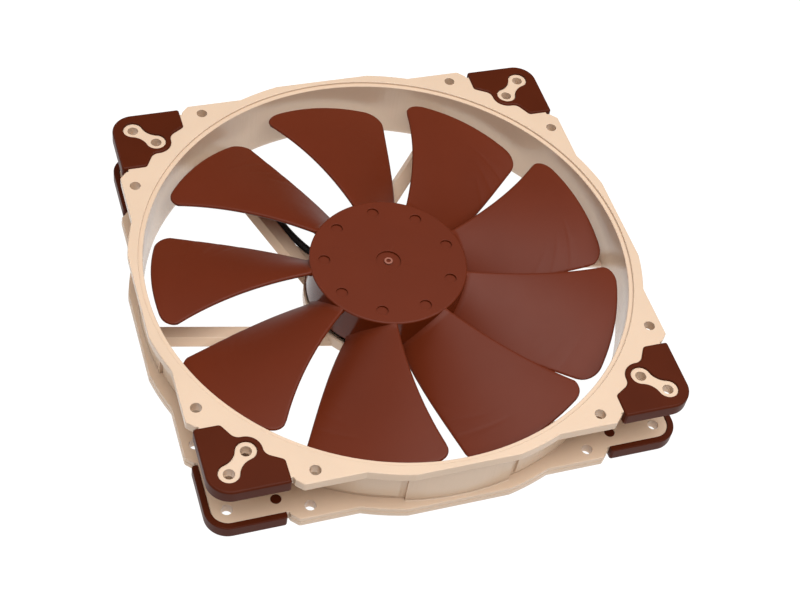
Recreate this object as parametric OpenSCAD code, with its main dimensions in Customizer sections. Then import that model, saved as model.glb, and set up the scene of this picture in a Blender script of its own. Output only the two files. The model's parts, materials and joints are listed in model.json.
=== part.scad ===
// Square 200 mm axial case fan: moulded frame, nine-blade impeller with an outer-rotor motor,
// rubber corner pads on both faces, and a sleeved lead with a four-way plug.
// The rotor axis is Z, the exhaust pads stand on z = 0 and air leaves downwards.

/* [Frame] */
// Half the height between the two pad faces, which is half the fan's depth
half_depth = 15; // [13:0.5:18]
// Depth of each flange
flange_t = 4.6; // [3:0.2:5]
// Distance from the axis to the straight outer edges of the flanges
edge_half = 95; // [94:0.5:96]
// Radius of the round bulge in the middle of each side
bulge_r = 102; // [100:0.5:103]
// Distance from the axis to the flat that trims each bulge
bulge_flat = 100; // [99:0.5:101]
// Inner radius of the duct
duct_r = 96.2; // [95:0.1:96.4]
// Outer radius of the duct wall
duct_outer_r = 98; // [97.5:0.1:98.5]
// Radius of the step around the inlet
inlet_step_r = 98; // [97:0.1:98.4]
// Depth of the step around the inlet
inlet_step_t = 1; // [0.5:0.1:2]

/* [Screw holes] */
// Radius of every screw hole
hole_r = 2.15; // [1.8:0.05:2.4]
// Hole spacing of the inner square pattern
square_a = 154; // [152:0.5:156]
// Hole spacing of the outer square pattern
square_b = 170; // [168:0.5:172]
// Short side of the two rectangular patterns
rect_short = 110; // [104:0.5:112]
// Long side of the two rectangular patterns
rect_long = 180; // [178:0.5:181]

/* [Corner pads] */
// Height that a pad stands proud of the flange face
pad_proud = 0.8; // [0.4:0.1:1.5]
// Depth of the shallow seat that a pad lies in
pad_seat = 1; // [0.5:0.1:1.5]
// Distance from the axis to the outer faces of the pads
pad_half = 93.4; // [93:0.1:94]
// Width of the pad's rim beside the flange edge
pad_rim = 2.4; // [2:0.1:3]
// Radius of the pegs that hold a pad in its flange
peg_r = 2.1; // [1.5:0.1:2.1]

/* [Struts and motor base] */
// Number of struts
strut_count = 6; // [6]
// Direction of the strut that carries the lead, in degrees
lead_strut_angle = 108.3; // [108.3]
// Radius of the round motor base
base_r = 33; // [32.8:0.1:35]
// Height of the motor base's rim above the frame's exhaust face
base_rim_h = 5.8; // [5:0.1:6.5]
// Height of the struts
strut_h = 3.4; // [2.5:0.1:4]

/* [Impeller] */
// Number of blades
blade_count = 9; // [5:1:9]
// Radius over the blade tips
tip_r = 93.2; // [88:0.2:94]
// Radius of the hub
hub_r = 31.6; // [31.6:0.1:32]
// Height of the hub's lower edge
hub_z0 = 8.9; // [8.5:0.1:10]
// Height of the hub's top face
hub_z1 = 25.8; // [25.6:0.1:27]
// Thickness of a blade at its root
blade_root_t = 1.9; // [1.4:0.1:2.4]
// Thickness of a blade at its tip
blade_tip_t = 1.3; // [1:0.1:1.8]
// Angle from +X to the first blade's trailing root, in degrees
blade_phase = 65.1; // [0:0.1:80]

/* [Motor] */
// Radius of the shaft
shaft_r = 2; // [1.5:0.1:2]
// Radial clearance between shaft and bearing
bearing_gap = 0.03; // [0.01:0.01:0.06]
// Number of stator teeth
tooth_count = 6; // [6]
// Outer radius of the stator
stator_r = 25.9; // [24:0.1:26]
// Outer radius of the steel rotor cup
yoke_r = 30.1; // [30:0.05:30.1]

/* [Lead] */
// Diameter of the sleeved lead
lead_d = 3; // [2.4:0.1:3.2]
// Pitch of the plug's contacts
plug_pitch = 2.54; // [2.54]

/* [Hidden] */
$fn = 96;

beige = [0.93, 0.82, 0.69];
brown = [0.42, 0.18, 0.12];
dark_brown = [0.32, 0.13, 0.08];
over = 0.5;                              // how far a cutting solid runs past the face it cuts

// Heights, from the exhaust face up
depth = 2*half_depth;
frame_z0 = pad_proud;
frame_z1 = depth - pad_proud;
pad_t = pad_proud + pad_seat;
pad_rim_h = pad_proud + flange_t + 0.5;
strut_z1 = frame_z0 + strut_h;
base_floor_z = frame_z0 + 1.8;
base_rim_z = frame_z0 + base_rim_h;
disc_t = 0.25;
disc_seat_r = 24;

// Corner geometry, measured in the +X +Y quadrant
pad_corner_r = 9;
core_half = pad_half - pad_rim;
core_corner_r = pad_corner_r - pad_rim;
corner_c = pad_half - pad_corner_r;
pad_end = 64.2;
notch_start = 60.1;
notch_end = pad_end - 1.1;
notch_lip = 1;                           // step from the corner out to the notch
parting_step = 0.15;                     // how far the half beyond the parting line stands back
shoulder_r = 1.8;
shoulder_x = 84.4;
shoulder_turn = 60;
bump_r = 6.2;
bump_from = 272;
bump_to = 178;
fillet_r = 3.8;
fillet_to = bump_from - 186;
fillet_c = [square_a/2, square_a/2] + (bump_r + fillet_r)*[cos(bump_from), sin(bump_from)];
boss_r = 4;
boss_waist = 2.45;
peg_near = 66.6;
peg_far = 84.6;

// Each quarter of the duct wall, behind a corner, is a raised panel with a groove around it
groove_from = 12.1;
groove_r = 97;
panel_from = 13.5;
panel_r = 97.8;
panel_edge = 2.2;                        // width of the groove above and below the panel
panel_slope = 0.5;                       // height over which the panel rises from the groove

// Strut section: distances from the axis to its four long edges
strut_near_top = 15.7;
strut_near_bottom = 17.2;
strut_far_top = 21.4;
strut_far_bottom = 24.3;
lead_offset = 14.4;
lead_clearance = 0.2;
gate_w = 4.8;
gate_h = 4;
flare_r = 97.1;                          // duct radius at the exhaust face

// Motor heights and radii
fit_gap = 0.05;                          // around pieces that sit inside one another
tube_r = 4.6;
tube_outer_r = 6.4;
tube_z1 = 19.2;
yoke_t = 1;
yoke_z0 = 6.2;
yoke_z1 = 24;
magnet_t = 2.6;
magnet_z0 = 7.4;
magnet_z1 = 20;
insert_r = 6;
insert_neck_r = 3.95;
insert_z0 = 20.6;
insert_z1 = 24.9;
shaft_top_z = 24.7;
shaft_tip_z = 4.06;
shaft_groove_r = 1.5;
shaft_groove_z0 = 5.1;
shaft_groove_z1 = 5.8;
shell_inner_r = 3.4;
shell_z0 = 5.9;
shell_z1 = 18.7;
sleeve_z0 = 6.2;
sleeve_z1 = 18.4;
retainer_gap = 0.15;
retainer_z0 = 18.72;
retainer_t = 0.4;
clip_z0 = 5.2;
clip_t = 0.5;
thrust_plate_z0 = 3.4;
thrust_plate_t = 0.6;
thrust_magnet_t = 0.7;
core_z0 = 9.5;
core_z1 = 17.5;
core_hub_r = 10;
tooth_w = 4.6;
tooth_head_t = 2.4;
tooth_slot_w = 2.8;
insulator_t = 1.2;
insulator_lip = 0.5;
insulator_r = 25;
insulator_ring_r = 22;
coil_x0 = 11;
coil_l = 9;
coil_half_w = 4.6;
coil_edge_r = 1.5;
coil_z0 = 7.6;
coil_z1 = 19.4;
board_z0 = 3.4;
board_z1 = 4.6;
board_r = 25;
post_r = 0.4;
post_ring_r = 23.6;
post_below = 0.4;                        // how far a post goes down into the board
slot_angle = 180/tooth_count;
chip_at = [12, -14];
chip_size = [5, 4, 1.1];
sensor_angle = -10;
sensor_r = 21.5;
sensor_size = [1.6, 4, 2.4];
capacitor_angles = [150, 185, 220, 255];
capacitor_r = 15;
capacitor_size = [3.2, 1.6, 1.2];

// ---- Helpers ----

function polar(r, a) = [r*cos(a), r*sin(a)];

// Points of an arc about c, from angle a0 to angle a1
function arc(c, r, a0, a1, n = 8) = [for (i = [0:n]) c + polar(r, a0 + (a1 - a0)*i/n)];

// Flips the points of the first quadrant half about the diagonal
function swap(points) = [for (i = [len(points) - 1:-1:0]) [points[i][1], points[i][0]]];

module each_corner() {
  for (a = [0:90:270])
    rotate([0, 0, a])
      children();
}

module ring(r_out, r_in, z0, z1) {
  translate([0, 0, z0])
    difference() {
      cylinder(h = z1 - z0, r = r_out);
      translate([0, 0, -over])
        cylinder(h = z1 - z0 + 2*over, r = r_in);
    }
}

// ---- Frame ----

// Pad outline: rounded outside corner, two shoulders and the bump around the screw boss
function pad_points() = let (
    s = pad_end + shoulder_r,
    half_side = concat(
      [[pad_half, pad_end]],
      arc([shoulder_x, s], shoulder_r, 270, 270 - shoulder_turn),
      arc(fillet_c, fillet_r, 90 - shoulder_turn, fillet_to)))
  concat(arc([corner_c, corner_c], pad_corner_r, 90, 0, 12),
         half_side,
         arc([square_a/2, square_a/2], bump_r, bump_from, bump_to, 12),
         swap(half_side));

module pad_outline() {
  polygon(pad_points());
}

// Dog-bone boss that carries the two corner screw holes
module boss_outline() {
  span = (square_b - square_a)/sqrt(2);
  side_r = (span*span/4 + boss_waist*boss_waist - boss_r*boss_r)/(2*(boss_r - boss_waist));
  side_y = boss_waist + side_r;
  a = atan2(side_y, span/2);
  points = concat(
    arc([0, 0], boss_r, a, 360 - a, 16),
    arc([span/2, -side_y], side_r, 180 - a, a),
    arc([span, 0], boss_r, a - 180, 180 - a, 16),
    arc([span/2, side_y], side_r, -a, a - 180));
  translate([square_a/2, square_a/2])
    rotate(45)
      polygon(points);
}

// Flange outline between the pads, set back by inset along the free edges
module flange_outline(inset = 0) {
  edge = edge_half - inset;
  lip = core_half + notch_lip;
  corner = concat(
    [[edge, notch_start], [lip, notch_end], [core_half, notch_end]],
    arc([corner_c, corner_c], core_corner_r, 0, 90),
    [[notch_end, core_half], [notch_end, lip], [notch_start, edge]]);
  intersection() {
    circle(r = bulge_r - inset);
    square(2*(bulge_flat - inset), center = true);
  }
  polygon([for (k = [0:3]) for (p = corner)
    [p[0]*cos(90*k) - p[1]*sin(90*k), p[0]*sin(90*k) + p[1]*cos(90*k)]]);
}

// Centres of one corner's four screw holes
function corner_holes() = [
  [square_a/2, square_a/2], [square_b/2, square_b/2],
  [rect_short/2, rect_long/2], [rect_long/2, rect_short/2]];

function peg_places() = [[peg_near, peg_far], [peg_far, peg_near]];

// One flange with its outer face at the bottom and a parting line half way up its edge
module flange() {
  difference() {
    union() {
      linear_extrude(flange_t/2)
        flange_outline();
      linear_extrude(flange_t)
        flange_outline(parting_step);
    }
    each_corner() {
      translate([0, 0, -over])
        linear_extrude(pad_seat + over)
          difference() {
            pad_outline();
            boss_outline();
          }
      for (p = corner_holes())
        translate([p[0], p[1], -over])
          cylinder(h = flange_t + 2*over, r = hole_r);
      for (p = peg_places())
        translate([p[0], p[1], -over])
          cylinder(h = flange_t + 2*over, r = peg_r);
    }
  }
}

// Duct wall: full thickness in the middle of each side, grooved around a panel at each corner
module duct_wall() {
  z0 = frame_z0 + flange_t;
  z1 = frame_z1 - flange_t;
  difference() {
    translate([0, 0, z0 - over])
      cylinder(h = z1 - z0 + 2*over, r = duct_outer_r);
    each_corner()
      rotate([0, 0, groove_from])
        rotate_extrude(angle = 90 - 2*groove_from)
          translate([groove_r, z0 - 2*over])
            square([duct_outer_r - groove_r + over, z1 - z0 + 4*over]);
  }
  each_corner()
    rotate([0, 0, panel_from])
      rotate_extrude(angle = 90 - 2*panel_from)
        polygon([
          [groove_r - over, z0 + panel_edge], [groove_r, z0 + panel_edge],
          [panel_r, z0 + panel_edge + panel_slope], [panel_r, z1 - panel_edge - panel_slope],
          [groove_r, z1 - panel_edge], [groove_r - over, z1 - panel_edge]]);
}

// Inside of the duct: the stepped inlet, the straight wall and the flare at the exhaust
module duct_bore() {
  rotate_extrude()
    polygon([
      [0, frame_z0 - over], [flare_r, frame_z0 - over], [flare_r, frame_z0],
      [duct_r, strut_z1], [duct_r, frame_z1 - inlet_step_t],
      [inlet_step_r, frame_z1 - inlet_step_t], [inlet_step_r, frame_z1 + over],
      [0, frame_z1 + over]]);
}

module strut() {
  rotate([90, 0, 90])
    linear_extrude(bulge_r)
      polygon([
        [strut_near_top, strut_z1], [strut_far_top, strut_z1],
        [strut_far_bottom, frame_z0], [strut_near_bottom, frame_z0]]);
}

// Groove along the side of one strut that the lead lies in
module lead_groove() {
  rotate([0, 0, lead_strut_angle])
    translate([base_r + 6, lead_offset, lead_run_z])
      rotate([0, 90, 0])
        cylinder(h = duct_outer_r - base_r, r = lead_d/2 + lead_clearance);
}

// Gap low in the duct wall where the lead goes out over the exhaust flange
module lead_gate() {
  rotate([0, 0, lead_strut_angle])
    translate([duct_r - 6, lead_offset - gate_w/2, frame_z0 + flange_t])
      cube([12, gate_w, gate_h]);
}

module struts() {
  difference() {
    intersection() {
      for (k = [0:strut_count - 1])
        rotate([0, 0, lead_strut_angle + k*360/strut_count])
          strut();
      ring(duct_outer_r, base_r - 1.2, 0, depth);
    }
    lead_groove();
  }
}

// Round motor base: a shallow cup with the bearing tube standing in it
module motor_base() {
  difference() {
    translate([0, 0, frame_z0])
      cylinder(h = base_rim_h, r = base_r);
    ring(base_r - 0.8, tube_outer_r, base_floor_z, base_rim_z + over);
    translate([0, 0, base_floor_z])
      cylinder(h = depth, r = tube_r);
    translate([0, 0, frame_z0 - over])
      cylinder(h = disc_t + over, r = disc_seat_r);
    grommet_hole();
  }
  ring(tube_outer_r, tube_r, base_floor_z, tube_z1);
}

module grommet_hole() {
  translate([lead_route[0][0], lead_route[0][1], lead_run_z])
    rotate([0, 90, atan2(lead_route[1][1] - lead_route[0][1], lead_route[1][0] - lead_route[0][0])])
      translate([0, 0, -over])
        cylinder(h = 8, r = grommet_r);
}

module frame() {
  color(beige) {
    difference() {
      union() {
        translate([0, 0, frame_z0])
          flange();
        translate([0, 0, frame_z1])
          mirror([0, 0, 1])
            flange();
        duct_wall();
      }
      duct_bore();
      lead_gate();
    }
    struts();
    motor_base();
  }
}

// ---- Corner pads ----

// One rubber pad with its outer face at the bottom
module pad() {
  color(dark_brown) {
    linear_extrude(pad_t)
      difference() {
        pad_outline();
        boss_outline();
      }
    translate([0, 0, pad_t])
      linear_extrude(pad_rim_h - pad_t)
        difference() {
          pad_outline();
          flange_outline();
        }
    for (p = peg_places())
      translate([p[0], p[1], pad_t])
        cylinder(h = pad_proud + flange_t - pad_t, r = peg_r);
  }
}

module exhaust_pad(k) {
  rotate([0, 0, 90*k])
    pad();
}

module intake_pad(k) {
  translate([0, 0, depth])
    mirror([0, 0, 1])
      rotate([0, 0, 90*k])
        pad();
}

// ---- Impeller ----

blade_span = 62.9;
root_sink = 0.7;                         // how far a blade's root runs into the hub wall
chord_steps = 10;
span_steps = 9;

function span_at(r) = (r - hub_r)/blade_span;
// Angle and height of the leading and trailing edges at a radius
function lead_edge(r) = let (u = span_at(r))
  [34.7 + 6*u + 3.7*u*u - 0.35*u*u*u, 24.7 + 0.9*u - 3.3*u*u];
function trail_edge(r) = let (u = span_at(r))
  [12.6*u - 2*u*u - 1.5*u*u*u, 9 + 5.1*u - 0.9*u*u];

// The tip corners are rounded: the blade ends this much short of the tip radius
function corner_drop(x, reach, drop) =
  x >= reach ? 0 : drop*(1 - sqrt(1 - pow((reach - x)/reach, 2)));
function end_r(s) = let (w = 56)
  tip_r - corner_drop(s*w, 9, 7) - corner_drop((1 - s)*w, 8, 7);

// Camber raises the middle of the chord
function camber(r) = 2.6 - 0.6*span_at(r);
function thickness(r, s) = (blade_root_t + (blade_tip_t - blade_root_t)*span_at(r))
  *(0.25 + 0.75*sqrt(sin(180*min(1, max(0, s)))));

// A point of the blade: s runs from leading to trailing edge, v from root to tip
function blade_point(s, v, side) = let (
    r = hub_r - root_sink + v*(end_r(s) - hub_r + root_sink),
    l = lead_edge(r),
    t = trail_edge(r),
    a = blade_phase + l[0] + (t[0] - l[0])*s,
    z = l[1] + (t[1] - l[1])*s + camber(r)*4*s*(1 - s))
  [r*cos(a), r*sin(a), z + side*thickness(r, s)/2];

// Chord stations, closer together at both edges
function chord_at(i) = (1 - cos(180*i/chord_steps))/2;

// Closed loop of points around the blade section at v
function blade_loop(v) = concat(
  [for (i = [0:chord_steps]) blade_point(chord_at(i), v, -1)],
  [for (i = [chord_steps:-1:0]) blade_point(chord_at(i), v, 1)]);

module skin(loops) {
  n = len(loops[0]);
  m = len(loops);
  points = [for (loop = loops) for (p = loop) p];
  sides = [for (j = [0:m - 2]) for (i = [0:n - 1]) for (half = [0, 1])
    let (a = j*n + i, b = j*n + (i + 1)%n)
    half == 0 ? [a, b, b + n] : [a, b + n, a + n]];
  start_cap = [for (i = [0:n/2 - 2]) for (half = [0, 1])
    let (a = i, b = i + 1, c = n - 1 - i, d = n - 2 - i)
    half == 0 ? [a, c, b] : [b, c, d]];
  end_cap = [for (f = start_cap) [f[0], f[2], f[1]] + [1, 1, 1]*(m - 1)*n];
  polyhedron(points = points, faces = concat(sides, start_cap, end_cap), convexity = 4);
}

module blade() {
  skin([for (j = [0:span_steps]) blade_loop(j/span_steps)]);
}

hub_edge_r = 0.6;
mark_count = 9;
mark_ring_r = 25.6;
mark_r = 2.35;
mark_depth = 0.8;
mark_phase = 87.7;
centre_mark_r = 4.95;
centre_pip_r = 1.7;

// Hub with a rounded rim, the round moulding marks in its top, and the recess for the steel cup
module hub_shell() {
  wall_r = yoke_r + fit_gap;
  roof_z = yoke_z1 + fit_gap;
  difference() {
    rotate_extrude()
      polygon(concat(
        [[0, hub_z0], [hub_r - 0.3, hub_z0], [hub_r, hub_z0 + 0.3]],
        arc([hub_r - hub_edge_r, hub_z1 - hub_edge_r], hub_edge_r, 0, 90, 4),
        [[0, hub_z1]]));
    translate([0, 0, hub_z0 - over])
      cylinder(h = roof_z - hub_z0 + over, r = wall_r);
    translate([0, 0, yoke_z1])
      cylinder(h = insert_z1 + fit_gap - yoke_z1, r = insert_neck_r + fit_gap);
    for (k = [0:mark_count - 1])
      rotate([0, 0, mark_phase + k*360/mark_count])
        translate([mark_ring_r, 0, hub_z1 - mark_depth])
          cylinder(h = 1, r = mark_r);
    ring(centre_mark_r, centre_pip_r, hub_z1 - mark_depth, hub_z1 + over);
  }
}

module impeller() {
  color(brown) {
    hub_shell();
    for (k = [0:blade_count - 1])
      rotate([0, 0, k*360/blade_count])
        blade();
  }
}

// ---- Rotor ----

module rotor_yoke() {
  color([0.16, 0.15, 0.15]) {
    ring(yoke_r, yoke_r - yoke_t, yoke_z0, yoke_z1);
    ring(yoke_r - yoke_t/2, insert_neck_r + fit_gap, yoke_z1 - yoke_t, yoke_z1);
  }
}

module ring_magnet() {
  outer = yoke_r - yoke_t;
  color([0.25, 0.24, 0.24])
    ring(outer, outer - magnet_t, magnet_z0, magnet_z1);
}

// Brass insert that joins the shaft to the rotor cup and the hub
module hub_insert() {
  color([0.78, 0.62, 0.32])
    union() {
      ring(insert_r, shaft_r, insert_z0, yoke_z1 - yoke_t);
      ring(insert_neck_r, shaft_r, yoke_z1 - yoke_t, insert_z1);
    }
}

module shaft() {
  color([0.75, 0.76, 0.78])
    difference() {
      union() {
        translate([0, 0, shaft_tip_z + shaft_r])
          cylinder(h = shaft_top_z - shaft_tip_z - shaft_r, r = shaft_r);
        translate([0, 0, shaft_tip_z + shaft_r])
          sphere(r = shaft_r);
      }
      ring(shaft_r + 1, shaft_groove_r, shaft_groove_z0, shaft_groove_z1);
    }
}

// ---- Bearing ----

module bearing_shell() {
  color([0.80, 0.64, 0.34])
    ring(tube_r, shell_inner_r, shell_z0, shell_z1);
}

module bearing_sleeve() {
  color([0.62, 0.48, 0.30])
    ring(shell_inner_r, shaft_r + bearing_gap, sleeve_z0, sleeve_z1);
}

module oil_retainer() {
  color([0.9, 0.9, 0.88])
    ring(tube_r - fit_gap, shaft_r + retainer_gap, retainer_z0, retainer_z0 + retainer_t);
}

module retaining_clip() {
  color([0.86, 0.86, 0.84])
    ring(tube_r - fit_gap, shaft_groove_r + 0.1, clip_z0, clip_z0 + clip_t);
}

module thrust_plate() {
  color([0.3, 0.3, 0.32])
    translate([0, 0, thrust_plate_z0])
      cylinder(h = thrust_plate_t, r = tube_r - fit_gap);
}

module thrust_magnet() {
  color([0.6, 0.6, 0.62])
    translate([0, 0, base_floor_z + fit_gap])
      cylinder(h = thrust_magnet_t, r = tube_r - fit_gap);
}

// ---- Stator ----

module each_tooth() {
  for (k = [0:tooth_count - 1])
    rotate([0, 0, k*360/tooth_count])
      children();
}

// Laminated core: six straight teeth with wide heads
module stator_core() {
  h = core_z1 - core_z0;
  color([0.55, 0.55, 0.57])
    translate([0, 0, core_z0])
      difference() {
        union() {
          cylinder(h = h, r = core_hub_r);
          each_tooth()
            translate([0, -tooth_w/2, 0])
              cube([stator_r - tooth_head_t/2, tooth_w, h]);
          difference() {
            ring(stator_r, stator_r - tooth_head_t, 0, h);
            each_tooth()
              rotate([0, 0, slot_angle])
                translate([stator_r - 2*tooth_head_t, -tooth_slot_w/2, -over])
                  cube([4*tooth_head_t, tooth_slot_w, h + 2*over]);
          }
        }
        translate([0, 0, -over])
          cylinder(h = h + 2*over, r = tube_outer_r + fit_gap);
      }
}

module insulator(z0) {
  w = tooth_w + 2*insulator_lip;
  translate([0, 0, z0])
    difference() {
      union() {
        cylinder(h = insulator_t, r = core_hub_r);
        each_tooth()
          translate([0, -w/2, 0])
            cube([insulator_ring_r + insulator_lip, w, insulator_t]);
        ring(insulator_r, insulator_ring_r, 0, insulator_t);
      }
      translate([0, 0, -over])
        cylinder(h = insulator_t + 2*over, r = tube_outer_r + fit_gap);
    }
}

module top_insulator() {
  color([0.85, 0.84, 0.80])
    insulator(core_z1);
}

module bottom_insulator() {
  color([0.85, 0.84, 0.80])
    difference() {
      insulator(core_z0 - insulator_t);
      posts();
    }
}

// Copper coil around each tooth
module stator_windings() {
  w = tooth_w + 2*insulator_lip + 2*fit_gap;
  z0 = core_z0 - insulator_t - fit_gap;
  z1 = core_z1 + insulator_t + fit_gap;
  color([0.72, 0.36, 0.16])
    each_tooth()
      difference() {
        translate([coil_x0, 0, 0])
          coil_body();
        translate([coil_x0 - over, -w/2, z0])
          cube([coil_l + 2*over, w, z1 - z0]);
      }
}

// Block with rounded long edges, as wound wire makes it
module coil_body() {
  inner = coil_half_w - coil_edge_r;
  h = coil_z1 - coil_z0;
  translate([0, -coil_half_w, coil_z0 + coil_edge_r])
    cube([coil_l, 2*coil_half_w, h - 2*coil_edge_r]);
  translate([0, -inner, coil_z0])
    cube([coil_l, 2*inner, h]);
  for (y = [-inner, inner], z = [coil_z0 + coil_edge_r, coil_z1 - coil_edge_r])
    translate([0, y, z])
      rotate([0, 90, 0])
        cylinder(h = coil_l, r = coil_edge_r, $fn = 32);
}

// Posts that tie the coil ends to the board, clear of the core above
module posts() {
  z0 = board_z0 - post_below;
  z1 = core_z0 - 0.3;
  each_tooth()
    rotate([0, 0, slot_angle])
      translate([post_ring_r, 0, z0])
        cylinder(h = z1 - z0, r = post_r, $fn = 24);
}

module winding_posts() {
  color([0.8, 0.8, 0.78])
    posts();
}

module circuit_board() {
  color([0.08, 0.24, 0.14])
    difference() {
      ring(board_r, tube_outer_r + 0.3, board_z0, board_z1);
      posts();
    }
}

module driver_chip() {
  color([0.1, 0.1, 0.1])
    translate([chip_at[0], chip_at[1], board_z1])
      cube(chip_size);
}

module hall_sensor() {
  color([0.12, 0.12, 0.12])
    rotate([0, 0, sensor_angle])
      translate([sensor_r, -sensor_size[1]/2, board_z1])
        cube(sensor_size);
}

module board_capacitors() {
  color([0.66, 0.54, 0.40])
    for (a = capacitor_angles)
      rotate([0, 0, a])
        translate([capacitor_r, -capacitor_size[1]/2, board_z1])
          cube(capacitor_size);
}

// Plain disc stuck in the recess under the motor base
module rear_disc() {
  color(brown)
    translate([0, 0, frame_z0])
      cylinder(h = disc_t, r = disc_seat_r - 0.2);
}

// ---- Lead and plug ----

lead_run_z = 3.1;
grommet_r = 2;
grommet_l = 4.6;
grommet_at = 1.2;                        // how far along the lead the grommet starts
wire_r = 0.4;
wire_spread = 0.85;                      // spacing of the wires where they leave the sleeve
board_wire_r = 0.28;
board_wire_l = 6;
board_wire_drop = 0.1;
board_wire_pitch = [0.68, 1.5];
// Route of the lead's centre line: out of the motor base, along the strut, through the duct wall,
// over the exhaust flange, down to the floor and folded once behind the frame
lead_route = [
  [-18.1, 23, 3.1], [-21, 26.6, 3.1], [-23.8, 30.7, 3.1], [-26.4, 35.6, 3.1],
  [-29.1, 42, 3.1], [-31.6, 49.6, 3.1], [-34.1, 57.2, 3.1], [-36.6, 64.8, 3.1],
  [-38.8, 71.4, 3.4], [-40.7, 77.2, 4.8], [-42.6, 82.8, 6.6], [-44.3, 88, 7.4],
  [-45.7, 92.3, 7.4], [-46.8, 97, 7], [-46.6, 101, 5.2], [-44.6, 103.8, 3.2],
  [-40.4, 105.2, 1.9], [-34, 105.4, 1.5], [-26, 104.8, 1.5], [-17, 104.2, 1.5],
  [-8, 103.8, 1.5], [1, 103.6, 1.5], [10, 103.6, 1.5], [19, 103.7, 1.5],
  [28, 103.8, 1.5], [37, 103.6, 1.5], [45, 103.2, 1.5], [51, 103.2, 1.5],
  [56, 104.8, 1.5], [58.6, 108.9, 1.5], [57.4, 113.6, 1.5], [53, 115.9, 1.5],
  [47, 116.2, 1.5], [39, 115.6, 1.5], [31, 114.4, 1.5], [23, 113, 1.5],
  [15, 112, 1.6], [8, 111.7, 2], [2, 111.7, 2.5], [-4, 111.7, 2.7]
];
lead_end = lead_route[len(lead_route) - 1];
sleeve_l = 10;
fan_out_l = 9;
plug_w = 4*plug_pitch;
plug_l = 11.6;
plug_h = 5.2;
plug_z0 = 0.2;
plug_rib = [1.1, 0.8];                   // width and height of a guide rib
plug_rib_y = 1.6;
contact_hole_w = 1.3;
contact_w = 1.1;
contact_wall = 0.25;
latch_x = 4;
latch_size = [3.2, 1.2, 3];

function unit(v) = v/norm(v);
function route_dir(i) = let (n = len(lead_route) - 1)
  unit(lead_route[min(i + 1, n)] - lead_route[max(i - 1, 0)]);
// Ring of points around the centre line, kept upright
function route_ring(i, r, sides) = let (
    d = route_dir(i),
    side = unit(cross(d, [0, 0, 1])),
    up = cross(side, d))
  [for (k = [0:sides - 1])
    lead_route[i] + r*(cos(360*k/sides + 22.5)*side + sin(360*k/sides + 22.5)*up)];

module lead() {
  color([0.06, 0.06, 0.06])
    skin([for (i = [0:len(lead_route) - 1]) route_ring(i, lead_d/2, 8)]);
}

module lead_grommet() {
  d = lead_route[1] - lead_route[0];
  color([0.1, 0.1, 0.1])
    translate(lead_route[0] + unit(d)*grommet_at)
      rotate([0, 90, atan2(d[1], d[0])])
        difference() {
          cylinder(h = grommet_l, r = grommet_r);
          translate([0, 0, -over])
            cylinder(h = grommet_l + 2*over, r = lead_d/2 + fit_gap);
        }
}

module rod(a, b, r) {
  d = b - a;
  translate(a)
    rotate([0, acos(d[2]/norm(d)), atan2(d[1], d[0])])
      cylinder(h = norm(d), r = r, $fn = 24);
}

// Four wires from the end of the lead to the solder points under the circuit board
module board_wires() {
  d = unit(lead_route[1] - lead_route[0]);
  n = [-d[1], d[0], 0];
  start = lead_route[0] - [0, 0, board_wire_drop];
  end = start - d*board_wire_l;
  color([0.1, 0.1, 0.1])
    for (k = [-1.5:1:1.5])
      rod(start + n*k*board_wire_pitch[0], end + n*k*board_wire_pitch[1], board_wire_r);
}

// Shrink sleeve over the end of the lead
module lead_end_sleeve() {
  color([0.05, 0.05, 0.05])
    translate(lead_end)
      rotate([0, -90, 0])
        cylinder(h = sleeve_l, r = lead_d/2 + 0.5);
}

module plug_wires() {
  x0 = lead_end[0] - sleeve_l;
  color([0.07, 0.07, 0.07])
    for (k = [-1.5:1:1.5])
      rod([x0, lead_end[1] + k*wire_spread, lead_end[2]],
          [x0 - fan_out_l, lead_end[1] + k*plug_pitch, lead_end[2]], wire_r);
}

// Four-way housing with its two guide ribs and a latch slot over each contact
module plug_housing() {
  x1 = lead_end[0] - sleeve_l - fan_out_l;
  x0 = x1 - plug_l;
  y0 = lead_end[1] - plug_w/2;
  color([0.08, 0.08, 0.08])
    difference() {
      union() {
        translate([x0, y0, plug_z0])
          cube([plug_l, plug_w, plug_h]);
        for (y = [y0 + plug_rib_y, y0 + plug_rib_y + 2*plug_pitch])
          translate([x0, y, plug_z0 + plug_h])
            cube([plug_l - 2, plug_rib[0], plug_rib[1]]);
      }
      for (k = [-1.5:1:1.5])
        translate([x0, lead_end[1] + k*plug_pitch, 0]) {
          translate([-over, -contact_hole_w/2, lead_end[2] - contact_hole_w/2])
            cube([plug_l - 1, contact_hole_w, contact_hole_w]);
          translate([latch_x, -latch_size[1]/2, plug_h - 0.9])
            cube(latch_size);
        }
    }
}

module plug_contacts() {
  x0 = lead_end[0] - sleeve_l - fan_out_l - plug_l;
  color([0.82, 0.72, 0.45])
    for (k = [-1.5:1:1.5])
      translate([x0 + 0.8, lead_end[1] + k*plug_pitch - contact_w/2, lead_end[2] - contact_w/2])
        difference() {
          cube([plug_l - 2.6, contact_w, contact_w]);
          translate([-over, contact_wall, contact_wall])
            cube([plug_l - 4, contact_w - 2*contact_wall, contact_w - 2*contact_wall]);
        }
}

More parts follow.
